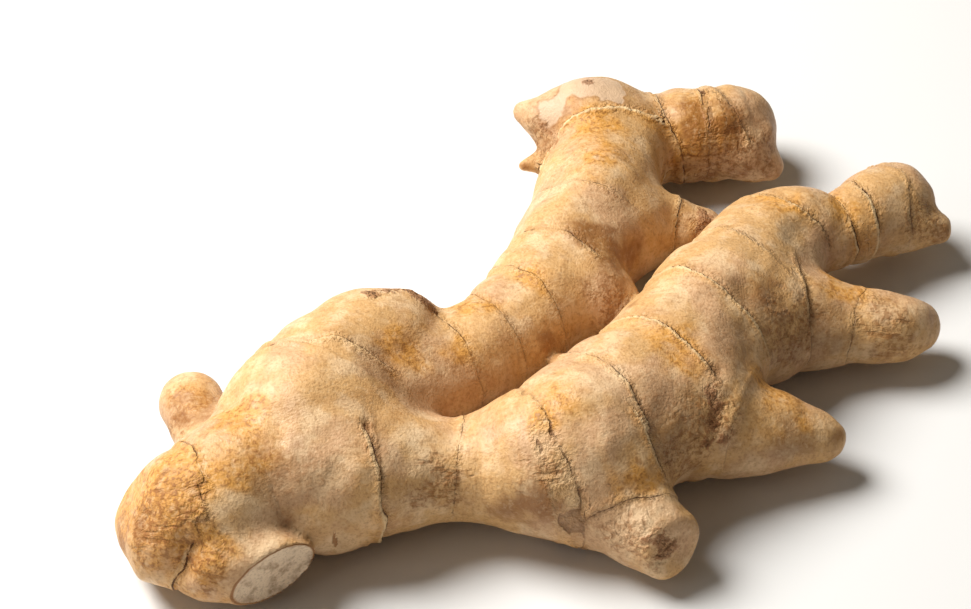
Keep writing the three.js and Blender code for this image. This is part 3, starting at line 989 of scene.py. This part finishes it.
class GINGER_OT_grow_root(Operator):
    """Grow the root's skin over its solid"""

    bl_idname = "ginger.grow_root"
    bl_label = "Grow Root"

    def execute(self, context):
        scene = context.scene
        mesh = grow_skin(scene.ginger_shape)
        mesh.name = "ginger_skin"
        mesh.materials.clear()
        mesh.materials.append(skin_material(scene.ginger_colours))
        mesh.materials.append(flesh_material(scene.ginger_colours))
        depth = np.empty(len(mesh.vertices), np.float32)
        mesh.attributes["flesh"].data.foreach_get("value", depth)
        for face in mesh.polygons:
            face.material_index = int(min(depth[i] for i in face.vertices) > FLESH_DEPTH)
        root = bpy.data.objects.new("ginger_skin", mesh)
        scene.collection.objects.link(root)
        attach(root, "root")
        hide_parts(NODE)
        return {"FINISHED"}


class GINGER_OT_set_stage(Operator):
    """Lay the floor, and set the lights and the camera"""

    bl_idname = "ginger.set_stage"
    bl_label = "Set Stage"

    def execute(self, context):
        stage = context.scene.ginger_stage
        lay_floor(stage)
        set_lights(stage)
        set_camera()
        context.scene.view_settings.view_transform = "Standard"
        return {"FINISHED"}


def lay_floor(stage):
    """A wide round sheet of paper, just under the root."""
    form = bmesh.new()
    bmesh.ops.create_circle(form, cap_ends=True, segments=FLOOR_SIDES, radius=FLOOR_SIZE / 2)
    mesh = bpy.data.meshes.new("floor")
    form.to_mesh(mesh)
    form.free()
    mesh.materials.append(floor_material(stage.floor))
    floor = bpy.data.objects.new("floor", mesh)
    bpy.context.scene.collection.objects.link(floor)


def set_lights(stage):
    """An even room light, a large soft key light above and behind, and a weak fill."""
    world = bpy.data.worlds.new("Soft room")
    world.use_nodes = True
    world.node_tree.nodes["Background"].inputs["Color"].default_value = rgba(stage.room)
    world.node_tree.nodes["Background"].inputs["Strength"].default_value = stage.sky
    bpy.context.scene.world = world
    for name, (place, size) in LAMPS.items():
        light = bpy.data.lights.new(name + "_light", "AREA")
        light.shape = "DISK"
        light.size = size
        light.energy = getattr(stage, name)
        lamp = bpy.data.objects.new(name + "_light", light)
        lamp.location = place
        lamp.rotation_euler = (Vector(LIGHT_AIM) - Vector(place)).to_track_quat("-Z", "Y").to_euler()
        bpy.context.scene.collection.objects.link(lamp)


def set_camera():
    """The camera at the photograph's angle."""
    data = bpy.data.cameras.new("camera")
    data.lens = CAMERA_LENS
    data.sensor_width = CAMERA_SENSOR
    camera = bpy.data.objects.new("camera", data)
    camera.location = CAMERA_PLACE
    camera.rotation_euler = (math.pi / 2 - CAMERA_TILT, 0, 0)
    bpy.context.scene.collection.objects.link(camera)
    bpy.context.scene.camera = camera


class GINGER_PT_panel(Panel):
    """Sizes, colours and steps of the ginger root"""

    bl_label = "Ginger root"
    bl_space_type = "VIEW_3D"
    bl_region_type = "UI"
    bl_category = "Ginger"

    def draw(self, context):
        scene = context.scene
        for group in (scene.ginger_shape, scene.ginger_colours, scene.ginger_stage):
            box = self.layout.box()
            for name in group.bl_rna.properties.keys():
                if name not in ("rna_type", "name"):
                    box.prop(group, name)
        for operator in OPERATORS:
            self.layout.operator(operator.bl_idname)


OPERATORS = (GINGER_OT_grow_root, GINGER_OT_set_stage)
CLASSES = (GingerShape, GingerColours, GingerStage, *OPERATORS, GINGER_PT_panel)


def register():
    for made in CLASSES:
        bpy.utils.register_class(made)
    bpy.types.Scene.ginger_shape = PointerProperty(type=GingerShape)
    bpy.types.Scene.ginger_colours = PointerProperty(type=GingerColours)
    bpy.types.Scene.ginger_stage = PointerProperty(type=GingerStage)


def unregister():
    del bpy.types.Scene.ginger_stage
    del bpy.types.Scene.ginger_colours
    del bpy.types.Scene.ginger_shape
    for made in reversed(CLASSES):
        bpy.utils.unregister_class(made)


def main():
    """Makes the root and its stage."""
    register()
    bpy.ops.ginger.grow_root()
    bpy.ops.ginger.set_stage()


if __name__ == "__main__":
    main()
